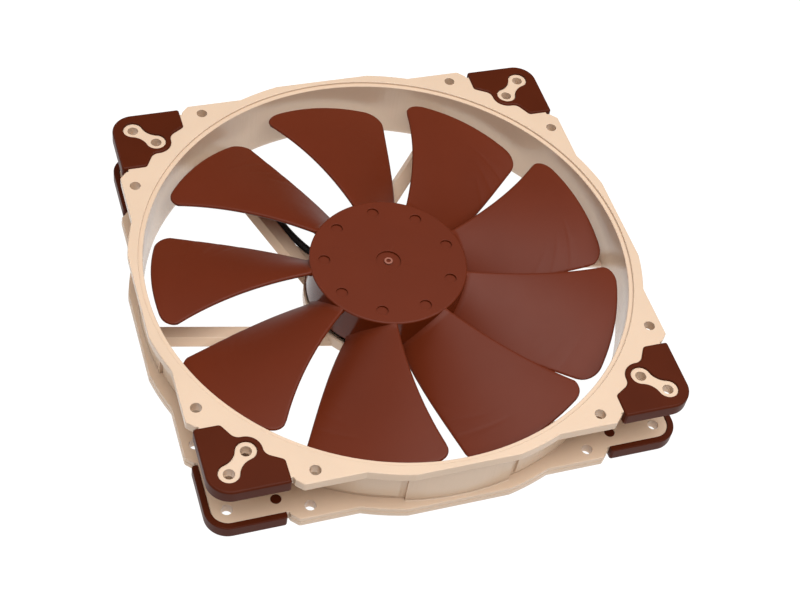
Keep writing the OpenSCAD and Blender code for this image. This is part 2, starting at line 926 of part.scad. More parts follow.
frame();
intake_pad(1);  // intake_pad_rear_left
intake_pad(0);  // intake_pad_rear_right
intake_pad(2);  // intake_pad_front_left
intake_pad(3);  // intake_pad_front_right
exhaust_pad(1);  // exhaust_pad_rear_left
exhaust_pad(0);  // exhaust_pad_rear_right
exhaust_pad(2);  // exhaust_pad_front_left
exhaust_pad(3);  // exhaust_pad_front_right
impeller();
rotor_yoke();
ring_magnet();
hub_insert();
shaft();
bearing_shell();
bearing_sleeve();
oil_retainer();
retaining_clip();
thrust_plate();
thrust_magnet();
stator_core();
top_insulator();
bottom_insulator();
stator_windings();
winding_posts();
circuit_board();
driver_chip();
hall_sensor();
board_capacitors();
rear_disc();
lead();
lead_grommet();
board_wires();
lead_end_sleeve();
plug_wires();
plug_housing();
plug_contacts();
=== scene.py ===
"""Square case fan with rubber corner pads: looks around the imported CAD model."""

import json
import math

import bmesh
import bpy
from mathutils import Matrix, Quaternion, Vector


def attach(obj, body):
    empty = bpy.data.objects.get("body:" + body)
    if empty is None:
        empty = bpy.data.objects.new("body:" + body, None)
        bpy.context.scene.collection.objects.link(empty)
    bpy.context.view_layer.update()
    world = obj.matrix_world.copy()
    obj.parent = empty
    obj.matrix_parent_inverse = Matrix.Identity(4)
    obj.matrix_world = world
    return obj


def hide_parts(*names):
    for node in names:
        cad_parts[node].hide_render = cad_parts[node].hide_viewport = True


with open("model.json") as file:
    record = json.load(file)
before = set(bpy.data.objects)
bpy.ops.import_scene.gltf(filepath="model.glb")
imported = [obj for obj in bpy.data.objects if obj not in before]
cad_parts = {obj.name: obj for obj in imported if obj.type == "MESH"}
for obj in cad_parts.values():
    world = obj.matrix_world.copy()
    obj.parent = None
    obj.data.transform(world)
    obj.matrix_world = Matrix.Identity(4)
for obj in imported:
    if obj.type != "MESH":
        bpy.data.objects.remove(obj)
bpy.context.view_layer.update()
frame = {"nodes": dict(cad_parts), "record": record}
MM = 0.001
TAU = 2 * math.pi


# ---- Camera ----

CAMERA_AT = (-170.3, -371.8, 501.4)
CAMERA_AIM = (2.35, -12.16, 15.0)
CAMERA_ROLL = 10.83
CAMERA_LENS = 71.19


def make_camera():
    data = bpy.data.cameras.new("camera")
    data.lens = CAMERA_LENS
    data.clip_start, data.clip_end = 0.01, 20
    camera = bpy.data.objects.new("camera", data)
    bpy.context.scene.collection.objects.link(camera)
    at, aim = Vector(CAMERA_AT) * MM, Vector(CAMERA_AIM) * MM
    look = (aim - at).to_track_quat("-Z", "Y")
    roll = Quaternion((0, 0, 1), math.radians(CAMERA_ROLL))
    camera.location = at
    camera.rotation_mode = "QUATERNION"
    camera.rotation_quaternion = look @ roll
    bpy.context.scene.camera = camera


# ---- Node material helpers ----


class Shader:
    """A material's node tree with short calls for the nodes used here."""

    def __init__(self, name):
        self.material = bpy.data.materials.new(name)
        self.material.use_nodes = True
        self.tree = self.material.node_tree
        self.bsdf = self.tree.nodes["Principled BSDF"]
        coordinates = self.tree.nodes.new("ShaderNodeTexCoord")
        self.place = coordinates.outputs["Object"]
        self.normal = coordinates.outputs["Normal"]

    def node(self, kind, **values):
        made = self.tree.nodes.new(kind)
        for key, value in values.items():
            setattr(made, key, value)
        return made

    def join(self, source, target):
        self.tree.links.new(source, target)

    def set(self, **values):
        names = {
            "colour": "Base Color",
            "rough": "Roughness",
            "metal": "Metallic",
            "spec": "Specular IOR Level",
            "coat": "Coat Weight",
            "coat_rough": "Coat Roughness",
            "sss": "Subsurface Weight",
            "sss_scale": "Subsurface Scale",
            "glow": "Emission Strength",
        }
        for key, value in values.items():
            self.bsdf.inputs[names[key]].default_value = value

    def stretched(self, scale, place=None):
        """The object's coordinates, scaled along each axis."""
        mapping = self.node("ShaderNodeMapping")
        mapping.inputs["Scale"].default_value = scale
        self.join(place or self.place, mapping.inputs["Vector"])
        return mapping.outputs["Vector"]

    def noise(self, scale, detail=3.0, rough=0.5, place=None):
        made = self.node("ShaderNodeTexNoise")
        made.inputs["Scale"].default_value = scale
        made.inputs["Detail"].default_value = detail
        made.inputs["Roughness"].default_value = rough
        self.join(place or self.place, made.inputs["Vector"])
        return made.outputs["Fac"]

    def ramp(self, value, stops):
        made = self.node("ShaderNodeValToRGB")
        elements = made.color_ramp.elements
        while len(elements) < len(stops):
            elements.new(0.5)
        for element, (at, colour) in zip(elements, stops):
            element.position = at
            element.color = colour if len(colour) == 4 else (*colour, 1.0)
        self.join(value, made.inputs["Fac"])
        return made.outputs["Color"]

    def between(self, value, low, high, from_low=0.0, from_high=1.0):
        made = self.node("ShaderNodeMapRange")
        for name, number in (
            ("From Min", from_low),
            ("From Max", from_high),
            ("To Min", low),
            ("To Max", high),
        ):
            made.inputs[name].default_value = number
        self.join(value, made.inputs["Value"])
        return made.outputs["Result"]

    def maths(self, operation, a, b):
        made = self.node("ShaderNodeMath", operation=operation)
        for socket, value in zip(made.inputs, (a, b)):
            if isinstance(value, (int, float)):
                socket.default_value = value
            else:
                self.join(value, socket)
        return made.outputs["Value"]

    def split(self, vector):
        made = self.node("ShaderNodeSeparateXYZ")
        self.join(vector, made.inputs["Vector"])
        return made.outputs

    def upright(self):
        """1 on upright faces, 0 on faces that look up or down."""
        up = self.maths("ABSOLUTE", self.split(self.normal)["Z"], 0)
        return self.between(up, 1.0, 0.0, 0.2, 0.6)

    def bump(self, height, distance, strength=1.0, under=None):
        made = self.node("ShaderNodeBump")
        made.inputs["Distance"].default_value = distance
        made.inputs["Strength"].default_value = strength
        self.join(height, made.inputs["Height"])
        if under is not None:
            self.join(under, made.inputs["Normal"])
        return made.outputs["Normal"]

    def smoother(self, amount):
        """Takes an amount off the roughness that is already joined."""
        rough = self.bsdf.inputs["Roughness"]
        self.join(self.maths("SUBTRACT", rough.links[0].from_socket, amount), rough)


def mottled(shader, colour, spread, scale):
    """The colour, a little lighter and darker in soft patches."""
    darker = tuple(c * (1 - spread) for c in colour)
    lighter = tuple(min(1.0, c * (1 + spread)) for c in colour)
    return shader.ramp(shader.noise(scale), [(0.35, darker), (0.65, lighter)])


def moulded(name, colour, rough, grain=0.00002, grain_scale=2600, spread=0.03, spec=0.5):
    """Moulded plastic: soft colour patches, a fine spark-eroded grain, an uneven gloss."""
    s = Shader(name)
    s.set(spec=spec)
    s.join(mottled(s, colour, spread, 55), s.bsdf.inputs["Base Color"])
    fine = s.noise(grain_scale, 2.0, 0.6)
    s.join(s.between(s.noise(140), rough - 0.04, rough + 0.04), s.bsdf.inputs["Roughness"])
    s.join(s.bump(fine, grain), s.bsdf.inputs["Normal"])
    return s


BEIGE = (0.61, 0.450, 0.324)
BROWN = (0.106, 0.0155, 0.0035)
PAD_BROWN = (0.066, 0.0105, 0.0025)
PAINTED_GATE_HIGHLIGHT = (0.34, 0.14, 0.10)  # painted highlight: a lighter ring of colour round the gate in the middle of the hub
WHITE_PLASTIC = (0.72, 0.70, 0.65)
BLACK_PLASTIC = (0.012, 0.012, 0.013)
FERRITE = (0.05, 0.048, 0.048)
STREAK_DEPTH = 0.00012  # metres, as every bump distance here
WALL_POLISH, HUB_POLISH = 0.17, 0.3  # how much smoother than the rest the mould left these walls
# radius of the painted highlight ring round the gate, and where its fade starts and ends
HIGHLIGHT_RING_R, HIGHLIGHT_RING_CLEAR, HIGHLIGHT_RING_END = 1.3, 0.25, 0.5


def frame_plastic():
    """Beige moulding, with fine upright lines from its mould on the smoother duct walls."""
    s = moulded("frame_plastic", BEIGE, 0.42, spread=0.015, spec=0.45)
    s.set(sss=0.06, sss_scale=0.002)
    s.bsdf.inputs["Subsurface Radius"].default_value = (1.0, 0.6, 0.35)
    lines = s.noise(420, 2.0, 0.7, s.stretched((1, 1, 0.02)))
    strong = s.noise(150, 1.0, 0.5, s.stretched((1, 1, 0.03)))
    height = s.maths("MULTIPLY", s.maths("ADD", lines, strong), s.upright())
    grain = s.bsdf.inputs["Normal"].links[0].from_socket
    s.join(s.bump(height, STREAK_DEPTH, 1.0, grain), s.bsdf.inputs["Normal"])
    s.smoother(s.maths("MULTIPLY", s.upright(), WALL_POLISH))
    return s.material


def impeller_plastic():
    """Brown moulding: satin blades and hub face, polished hub side, a painted highlight ring round
    the gate.
    """
    s = moulded("impeller_plastic", BROWN, 0.46, grain=0.000012, spread=0.02, spec=0.18)
    place = s.split(s.place)
    squares = [s.maths("MULTIPLY", place[axis], place[axis]) for axis in "XY"]
    reach = s.maths("ADD", *squares)
    near = s.between(s.maths("SQRT", reach, 0), 1.0, 0.0, (HUB_R + 0.1) * MM, (HUB_R + 0.3) * MM)
    polish = s.maths("MULTIPLY", near, s.upright())
    s.smoother(s.maths("MULTIPLY", polish, HUB_POLISH))
    # painted highlight: lighter colour in a ring round the gate, fading out away from its radius
    from_highlight_ring = s.maths("SUBTRACT", s.maths("SQRT", reach, 0), HIGHLIGHT_RING_R * MM)
    from_highlight_ring = s.maths("ABSOLUTE", from_highlight_ring, 0)
    painted_highlight = s.between(from_highlight_ring, 0.75, 0.0, HIGHLIGHT_RING_CLEAR * MM, HIGHLIGHT_RING_END * MM)
    mix = s.node("ShaderNodeMix", data_type="RGBA")
    s.join(painted_highlight, mix.inputs[0])
    s.join(s.bsdf.inputs["Base Color"].links[0].from_socket, mix.inputs[6])
    mix.inputs[7].default_value = (*PAINTED_GATE_HIGHLIGHT, 1.0)
    s.join(mix.outputs[2], s.bsdf.inputs["Base Color"])
    return s.material


def plain_metal(name, colour, rough, brushed=(1, 1, 1), scale=900):
    """Metal with fine marks along one direction."""
    s = Shader(name)
    s.set(metal=1.0)
    marks = s.noise(scale, 3.0, 0.6, s.stretched(brushed))
    s.join(mottled(s, colour, 0.06, 120), s.bsdf.inputs["Base Color"])
    s.join(s.between(marks, rough - 0.08, rough + 0.08), s.bsdf.inputs["Roughness"])
    s.join(s.bump(marks, 0.00001), s.bsdf.inputs["Normal"])
    return s.material


def banded(name, scale, stops, bump, distortion=0.0, **settings):
    """Bands along Z: the edges of stacked sheets, or turns of wire."""
    s = Shader(name)
    s.set(**settings)
    wave = s.node("ShaderNodeTexWave", wave_type="BANDS", bands_direction="Z")
    wave.inputs["Scale"].default_value = scale
    wave.inputs["Distortion"].default_value = distortion
    s.join(s.place, wave.inputs["Vector"])
    s.join(s.ramp(wave.outputs["Fac"], stops), s.bsdf.inputs["Base Color"])
    s.join(s.bump(wave.outputs["Fac"], bump), s.bsdf.inputs["Normal"])
    return s.material


def lamination():
    stops = [(0.1, (0.16, 0.16, 0.17)), (0.5, (0.42, 0.42, 0.44))]
    return banded("core_steel", 320, stops, 0.00005, metal=1.0, rough=0.4)


def winding():
    stops = [(0.0, (0.18, 0.05, 0.015)), (0.6, (0.62, 0.24, 0.09))]
    return banded("copper_wire", 900, stops, 0.00008, 0.6, metal=0.85, rough=0.3, coat=0.5)


def cells(name, scale, feature, output, stops, bump, **settings):
    """A pattern of cells: faint copper tracks under solder mask, or a braid's checks."""
    s = Shader(name)
    s.set(**settings)
    pattern = s.node("ShaderNodeTexVoronoi", feature=feature)
    pattern.inputs["Scale"].default_value = scale
    s.join(s.place, pattern.inputs["Vector"])
    s.join(s.ramp(pattern.outputs[output], stops), s.bsdf.inputs["Base Color"])
    s.join(s.bump(pattern.outputs[output], bump), s.bsdf.inputs["Normal"])
    return s.material


def circuit():
    stops = [(0.02, (0.05, 0.22, 0.10)), (0.06, (0.02, 0.11, 0.05))]
    feature = "DISTANCE_TO_EDGE"
    return cells("board_green", 260, feature, "Distance", stops, 0.00002, rough=0.32, coat=0.3)


def braid():
    stops = [(0.2, (0.022, 0.022, 0.024)), (0.7, (0.006, 0.006, 0.007))]
    return cells("lead_sleeve", 1700, "F1", "Distance", stops, 0.0001, rough=0.62, spec=0.35)


def pad_rubber():
    return moulded("pad_rubber", PAD_BROWN, 0.4, grain_scale=1800, spread=0.05, spec=0.08).material


def make_materials():
    return {
        "frame_plastic": frame_plastic(),
        "pad_rubber": pad_rubber(),
        "impeller_plastic": impeller_plastic(),
        "rotor_steel": plain_metal("rotor_steel", (0.020, 0.018, 0.018), 0.42, (1, 1, 0.05)),
        "magnet_ferrite": moulded("magnet_ferrite", FERRITE, 0.6, spread=0.08).material,
        "brass": plain_metal("brass", (0.72, 0.50, 0.20), 0.28, (1, 1, 0.1)),
        "bronze": plain_metal("bronze", (0.42, 0.25, 0.12), 0.42, scale=2600),
        "shaft_steel": plain_metal("shaft_steel", (0.58, 0.59, 0.62), 0.2, (0.1, 0.1, 1)),
        "white_plastic": moulded("white_plastic", WHITE_PLASTIC, 0.45).material,
        "core_steel": lamination(),
        "copper_wire": winding(),
        "tinned_metal": plain_metal("tinned_metal", (0.66, 0.64, 0.58), 0.3),
        "board_green": circuit(),
        "black_plastic": moulded("black_plastic", BLACK_PLASTIC, 0.42, spread=0.1).material,
        "capacitor_ceramic": moulded("capacitor_ceramic", (0.34, 0.22, 0.12), 0.4).material,
        "disc_plastic": moulded("disc_plastic", BROWN, 0.3).material,
        "lead_black": braid(),
        "rubber_black": moulded("rubber_black", BLACK_PLASTIC, 0.5, grain=0.00003).material,
    }


def dress(obj, material):
    obj.data.materials.clear()
    obj.data.materials.append(material)


# ---- Outlines, in millimetres ----


def arc(centre, radius, start, end, steps):
    angles = [math.radians(start + (end - start) * k / steps) for k in range(steps + 1)]
    return [(centre[0] + radius * math.cos(a), centre[1] + radius * math.sin(a)) for a in angles]


def box(x0, y0, x1, y1):
    return [(x0, y0), (x1, y0), (x1, y1), (x0, y1)]


def turned(points, degrees):
    c, s = math.cos(math.radians(degrees)), math.sin(math.radians(degrees))
    return [(x * c - y * s, x * s + y * c) for x, y in points]


def softened(points, radius, steps=4, least=8):
    """The closed outline with an arc of the given radius in place of each clear corner."""
    out = []
    for i, point in enumerate(points):
        p = Vector(point)
        back, ahead = Vector(points[i - 1]) - p, Vector(points[(i + 1) % len(points)]) - p
        turn = math.pi - back.angle(ahead)
        if turn < math.radians(least):
            out.append(tuple(p))
            continue
        cut = min(radius * math.tan(turn / 2), 0.45 * back.length, 0.45 * ahead.length)
        arm = back.normalized() * cut
        halfway = (back.normalized() + ahead.normalized()).normalized()
        middle = p + halfway * cut / math.sin(turn / 2)
        side = 1 if back.cross(ahead) < 0 else -1
        for k in range(steps + 1):
            spoke = p + arm - middle
            spoke.rotate(Matrix.Rotation(side * turn * k / steps, 2))
            out.append(tuple(middle + spoke))
    return out


def inset(points, distance):
    """The closed counter-clockwise outline, moved inwards."""
    out = []
    for i, point in enumerate(points):
        p = Vector(point)
        e1 = (p - Vector(points[i - 1])).normalized()
        e2 = (Vector(points[(i + 1) % len(points)]) - p).normalized()
        n1, n2 = Vector((-e1.y, e1.x)), Vector((-e2.y, e2.x))
        out.append(tuple(p + (n1 + n2) * distance / max(0.2, 1 + n1.dot(n2))))
    return out


def counter_clockwise(points):
    area = sum(a[0] * b[1] - b[0] * a[1] for a, b in zip(points, points[1:] + points[:1]))
    return points if area > 0 else points[::-1]


def layers(z0, z1, low, high, steps=4):
    """Heights and insets of a slab whose lower and upper edges are rounded."""
    out = []
    for k in range(steps + 1 if low else 1):
        t = TAU / 4 * k / steps
        out.append((z0 + low * (1 - math.cos(t)), low * (1 - math.sin(t))))
    for k in range(steps + 1 if high else 1):
        t = TAU / 4 * (1 - k / steps)
        out.append((z1 - high * (1 - math.cos(t)), high * (1 - math.sin(t))))
    return out


# ---- Meshes ----


def mesh_from(name, points, faces):
    """A closed mesh, with its faces turned outwards."""
    mesh = bpy.data.meshes.new(name)
    mesh.from_pydata([Vector(p) * MM for p in points], [], faces)
    bm = bmesh.new()
    bm.from_mesh(mesh)
    bmesh.ops.remove_doubles(bm, verts=bm.verts, dist=1e-6)
    bmesh.ops.recalc_face_normals(bm, faces=bm.faces)
    bm.to_mesh(mesh)
    bm.free()
    return mesh


def slab(outline, steps):
    """Points and faces of a solid that has the outline at each (height, inset) of steps."""
    outline = counter_clockwise(outline)
    n = len(outline)
    points = [(x, y, z) for z, d in steps for x, y in inset(outline, d)]
    faces = [list(range(n))[::-1], list(range(len(points) - n, len(points)))]
    for j in range(len(steps) - 1):
        for i in range(n):
            a, b = j * n + i, j * n + (i + 1) % n
            faces.append([a, b, b + n, a + n])
    return points, faces


def revolved(outline, steps=240, start=0.0, end=360.0):
    """Points and faces of an outline of (radius, height) turned about Z, all round or in part."""
    whole = end - start >= 360
    stations = range(steps if whole else steps + 1)
    angles = [math.radians(start + (end - start) * k / steps) for k in stations]
    points, faces, rings = [], [], []
    for r, z in outline:
        count = 1 if r < 1e-6 and whole else len(angles)
        rings.append(list(range(len(points), len(points) + count)))
        points.extend((r * math.cos(a), r * math.sin(a), z) for a in angles[:count])
    for a, b in zip(rings, rings[1:] + rings[:1]):
        for k in range(len(angles) if whole else len(angles) - 1):
            quad = [a[k % len(a)], b[k % len(b)], b[(k + 1) % len(b)], a[(k + 1) % len(a)]]
            face = list(dict.fromkeys(quad))
            if len(face) > 2:
                faces.append(face)
    if not whole:
        faces += [[ring[0] for ring in rings], [ring[-1] for ring in rings]]
    return points, faces


def moved(shape, turn=0.0, shift=(0, 0, 0), matrix=None):
    points, faces = shape
    matrix = matrix or Matrix.Rotation(math.radians(turn), 4, "Z") @ Matrix.Translation(shift)
    return [tuple(matrix @ Vector(p)) for p in points], faces


def solid(name, *shapes):
    """One object from separate closed shapes, each given as points and faces."""
    points, faces = [], []
    for some_points, some_faces in shapes:
        start = len(points)
        points += some_points
        faces += [[start + i for i in face] for face in some_faces]
    obj = bpy.data.objects.new(name, mesh_from(name, points, faces))
    bpy.context.scene.collection.objects.link(obj)
    return obj


def settle(obj):
    """Applies the object's modifiers."""
    graph = bpy.context.evaluated_depsgraph_get()
    mesh = bpy.data.meshes.new_from_object(obj.evaluated_get(graph))
    obj.modifiers.clear()
    obj.data = mesh


def combine(obj, operation, *others):
    """Adds or cuts other solids, which are used up."""
    for other in others:
        modifier = obj.modifiers.new("combine", "BOOLEAN")
        modifier.operation = operation
        modifier.solver = "MANIFOLD"
        modifier.object = other
    bpy.context.view_layer.update()
    settle(obj)
    for other in others:
        bpy.data.objects.remove(other)
    return obj


def finish_mesh(obj, name, material, body, degrees=35):
    """Smooth shading that leaves flat faces flat, then the material and body."""
    obj.name = obj.data.name = name
    obj.data.shade_smooth()
    obj.data.set_sharp_from_angle(angle=math.radians(degrees))
    normals = obj.modifiers.new("normals", "WEIGHTED_NORMAL")
    normals.keep_sharp = True
    settle(obj)
    dress(obj, material)
    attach(obj, body)


# ---- Lead ----

LEAD_D = 3.0
LEAD_ROUTE = [  # the tube's middle, from the grommet along its strut to a loop behind the fan
    (-18.1, 23, 3.1), (-21, 26.6, 3.1), (-23.8, 30.7, 3.1), (-26.4, 35.6, 3.1),
    (-29.1, 42, 3.1), (-31.6, 49.6, 3.1), (-34.1, 57.2, 3.1), (-36.6, 64.8, 3.1),
    (-38.8, 71.4, 3.4), (-40.7, 77.2, 4.8), (-42.6, 82.8, 6.6), (-44.3, 88, 7.4),
    (-45.7, 92.3, 7.4), (-46.8, 97, 7), (-46.6, 101, 5.2), (-44.6, 103.8, 3.2),
    (-40.4, 105.2, 1.9), (-34, 105.4, 1.5), (-26, 104.8, 1.5), (-17, 104.2, 1.5),
    (-8, 103.8, 1.5), (1, 103.6, 1.5), (10, 103.6, 1.5), (19, 103.7, 1.5),
    (28, 103.8, 1.5), (37, 103.6, 1.5), (45, 103.2, 1.5), (51, 103.2, 1.5),
    (56, 104.8, 1.5), (58.6, 108.9, 1.5), (57.4, 113.6, 1.5), (53, 115.9, 1.5),
    (47, 116.2, 1.5), (39, 115.6, 1.5), (31, 114.4, 1.5), (23, 113, 1.5),
    (15, 112, 1.6), (8, 111.7, 2), (2, 111.7, 2.5), (-4, 111.7, 2.7),
]
LEAD_LIFT = 0.05  # keeps the curve between two points on the floor from dipping below it


def make_lead(materials):
    data = bpy.data.curves.new("lead_sleeve", "CURVE")
    data.dimensions = "3D"
    data.bevel_depth = LEAD_D / 2 * MM
    data.bevel_resolution = 5
    data.use_fill_caps = True
    spline = data.splines.new("BEZIER")
    spline.bezier_points.add(len(LEAD_ROUTE) - 1)
    spline.resolution_u = 6
    for point, place in zip(spline.bezier_points, LEAD_ROUTE):
        point.co = (Vector(place) + Vector((0, 0, LEAD_LIFT))) * MM
        point.handle_left_type = point.handle_right_type = "AUTO"
    lead = bpy.data.objects.new("lead_sleeve", data)
    bpy.context.scene.collection.objects.link(lead)
    data.materials.append(materials["lead_black"])
    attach(lead, "housing")
    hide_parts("lead")


# ---- Impeller ----

HUB_R = 31.6
HUB_Z0, HUB_Z1 = 8.9, 25.8
BLADES = 9
BLADE_PHASE = 65.1
BLADE_SPAN = 62.9
TIP_R = 93.2
EDGE_W = 0.9  # how far in from an edge the blade takes to reach its full thickness
ROOT_FILLET = 1.2
ROOT_DEPTH = 0.9  # how far the blade reaches into the hub
TIP_CHORD = 56  # mean width of the blade near its tip
LEAD_CORNER, TRAIL_CORNER, CORNER_DROP = 9, 8, 7
CHORD_STEPS = 56
SPAN_STEPS = 80


def span_at(r):
    return (r - HUB_R) / BLADE_SPAN


def mean_point(s, r):
    """A point of the blade's middle surface; s runs from the leading edge to the trailing edge."""
    u = span_at(r)
    lead = 34.7 + 6 * u + 3.7 * u * u - 0.35 * u**3
    trail = 12.6 * u - 2 * u * u - 1.5 * u**3
    lead_z = 24.7 + 0.9 * u - 3.3 * u * u
    trail_z = 9 + 5.1 * u - 0.9 * u * u
    a = math.radians(BLADE_PHASE + lead + (trail - lead) * s)
    z = lead_z + (trail_z - lead_z) * s + (2.6 - 0.6 * u) * 4 * s * (1 - s)
    return Vector((r * math.cos(a), r * math.sin(a), z))


def corner_drop(x, reach, drop):
    """How far an elliptical corner falls short of the tip circle at a distance x from its edge."""
    if x >= reach:
        return 0.0
    return drop * (1 - math.sqrt(max(0.0, 1 - ((reach - x) / reach) ** 2)))


def end_r(s):
    """Radius at which the blade ends: the tip circle with its two corners rounded off."""
    lead_drop = corner_drop(s * TIP_CHORD, LEAD_CORNER, CORNER_DROP)
    return TIP_R - lead_drop - corner_drop((1 - s) * TIP_CHORD, TRAIL_CORNER, CORNER_DROP)


def nose(x):
    """Share of the full thickness at a distance x from an edge, as a round edge has it."""
    t = max(0.0, min(1.0, x / EDGE_W))
    return math.sqrt(max(0.0, 1 - (1 - t) ** 2))


def smooth_step(x):
    x = max(0.0, min(1.0, x))
    return x * x * (3 - 2 * x)


# Each flute: where it starts along the chord, its radius there, and the radii of its two sides
# at the trailing edge
FLUTES = [
    (0.70, 69.6, 59.6, 65.2),
    (0.60, 76.6, 68.4, 73.6),
    (0.46, 82.2, 77.4, 82.6),
]
FLUTE_DEPTH = 0.09


def flute_cut(s, r):
    """Depth of the shallow flutes that fan out towards the trailing edge."""
    depth = 0.0
    for start, start_r, inner, outer in FLUTES:
        if s <= start:
            continue
        along = (s - start) / (1 - start)
        a = start_r + (inner - start_r) * along**1.15
        b = start_r + (outer - start_r) * along**1.6 + 0.25
        if not a - 0.5 < r < b + 0.5:
            continue
        across = (r - a) / max(0.3, b - a)
        wall = smooth_step((r - a + 0.25) / 0.5)
        far = 1 - smooth_step(across)
        depth = max(depth, wall * far * min(1.0, along * 2.5))
    return depth * FLUTE_DEPTH


def blade_surfaces():
    """Upper and lower grids of the first blade."""
    root = HUB_R - ROOT_DEPTH
    upper, lower = [], []
    for j in range(SPAN_STEPS + 1):
        v = j / SPAN_STEPS
        v = 0.55 * v + 0.45 * (1 - (1 - v) ** 2)
        for i in range(CHORD_STEPS + 1):
            t = i / CHORD_STEPS
            s = 0.45 * t + 0.55 * (1 - math.cos(math.pi * t)) / 2
            tip = end_r(s)
            r = root + v * (tip - root)
            p = mean_point(s, r)
            ds = mean_point(min(1, s + 0.01), r) - mean_point(max(0, s - 0.01), r)
            dr = mean_point(s, r + 0.2) - mean_point(s, r - 0.2)
            n = ds.cross(dr).normalized()
            if n.z < 0:
                n = -n
            u = span_at(r)
            chord = 18 + 24 * u
            full = 1.75 - 0.35 * u - 0.35 * s
            share = min(nose(s * chord), nose((1 - s) * chord), nose((tip - r) if v < 1 else 0))
            out = max(0.0, ROOT_FILLET - max(0.0, r - HUB_R))
            fillet = ROOT_FILLET - math.sqrt(max(0.0, ROOT_FILLET**2 - out**2))
            half = full / 2 * share
            top = p + n * (half + fillet * share - min(flute_cut(s, r), half * 0.9) * share)
            low = p - n * (half + fillet * share)
            if r < HUB_R + 1.5:
                for q in (top, low):
                    q.z = min(max(q.z, HUB_Z0 + 0.1), HUB_Z1 - 0.25)
            upper.append(tuple(top))
            lower.append(tuple(low))
    return upper, lower


def blade_shape():
    upper, lower = blade_surfaces()
    points, second = upper + lower, len(upper)
    row = CHORD_STEPS + 1
    faces = []
    for j in range(SPAN_STEPS):
        for i in range(CHORD_STEPS):
            a, b = j * row + i, j * row + i + 1
            c, d = b + row, a + row
            faces.append([a, b, c, d])
            faces.append([second + a, second + d, second + c, second + b])
    for i in range(CHORD_STEPS):
        faces.append([i + 1, i, second + i, second + i + 1])
    return points, faces


MARKS = 9
MARK_RING_R = 25.6
MARK_R, MARK_DEPTH = 2.35, 0.8
MARK_PHASE = 87.7
RECESS_R, RECESS_INNER_R = 4.95, 1.7
GATE_R, GATE_DEPTH = 0.85, 0.4
CUP_R, CUP_ROOF_Z = 30.15, 24.05  # inside of the hub, where the steel yoke sits
HUB_RIM, HUB_LIP = 0.7, 0.4  # radii of the hub's rounded upper and lower edges


def pit(radius, depth, centre, inner=0.0):
    """Shape that cuts a shallow round pit, or a ring with an inner radius, with soft rims."""
    soft = 0.15
    top = HUB_Z1 + 0.5
    outline = [(inner, HUB_Z1 - depth), (radius, HUB_Z1 - depth), (radius, HUB_Z1 - soft)]
    outline += arc((radius + soft, HUB_Z1 - soft), soft, 180, 90, 3)[1:]
    outline += [(radius + soft, top), (inner, top)]
    if inner:
        outline = outline[:-1] + [(inner - soft, top), (inner - soft, HUB_Z1)]
        outline += arc((inner - soft, HUB_Z1 - soft), soft, 90, 0, 3)[1:]
    return moved(revolved(outline, 48), shift=(centre[0], centre[1], 0))


def make_impeller(materials):
    outline = [(0, HUB_Z1), (0, CUP_ROOF_Z), (CUP_R, CUP_ROOF_Z), (CUP_R, HUB_Z0)]
    outline += arc((HUB_R - HUB_LIP, HUB_Z0 + HUB_LIP), HUB_LIP, 270, 360, 4)
    outline += arc((HUB_R - HUB_RIM, HUB_Z1 - HUB_RIM), HUB_RIM, 0, 90, 6)
    impeller = solid("impeller_moulding", revolved(outline))
    blade = blade_shape()
    blades = [moved(blade, turn=k * 360 / BLADES) for k in range(BLADES)]
    combine(impeller, "UNION", solid("blades", *blades))
    turns = [MARK_PHASE + k * 360 / MARKS for k in range(MARKS)]
    pits = [pit(MARK_R, MARK_DEPTH, arc((0, 0), MARK_RING_R, a, a, 1)[0]) for a in turns]
    pits.append(pit(RECESS_R, MARK_DEPTH, (0, 0), inner=RECESS_INNER_R))
    pits.append(pit(GATE_R, GATE_DEPTH, (0, 0)))
    combine(impeller, "DIFFERENCE", solid("pits", *pits))
    brown = materials["impeller_plastic"]
    finish_mesh(impeller, "impeller_moulding", brown, "rotor", 32)
    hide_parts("impeller")


# ---- Frame and pads ----

DEPTH = 30.0
FACE_Z = 0.8  # a flange's outer face: the pads stand this far proud of it
FLANGE_T = 4.6
EDGE_HALF, BULGE_R, BULGE_FLAT = 95.0, 102.0, 100.0  # the flange swells round the duct
DUCT_R, FLARE_R, WALL_R = 96.2, 97.1, 98.0
FLARE_TOP_Z = 4.2
STEP_R, STEP_T, STEP_EDGE = 98.0, 1.0, 0.2  # shallow step round the inlet
NOTCH, NOTCH_END, NOTCH_LIP = 60.1, 63.1, 1.0  # where the flange steps in for a pad
CORE_HALF = 91.0
CORNER_C, CORNER_R = 84.4, 9.0
SOFT = 0.35  # radius of the moulding's rounded edges
PARTING_STEP = 0.15
HOLE_R = 2.15
SQUARE_A, SQUARE_B, RECT_SHORT, RECT_LONG = 154.0, 170.0, 110.0, 180.0  # hole spacings
PAD_HALF, PAD_END, PAD_SEAT, PAD_RIM_Z = 93.4, 64.2, 1.8, 5.9
PAD_ROUND, PAD_LIP_ROUND, WINDOW_ROUND = 0.9, 0.4, 0.35
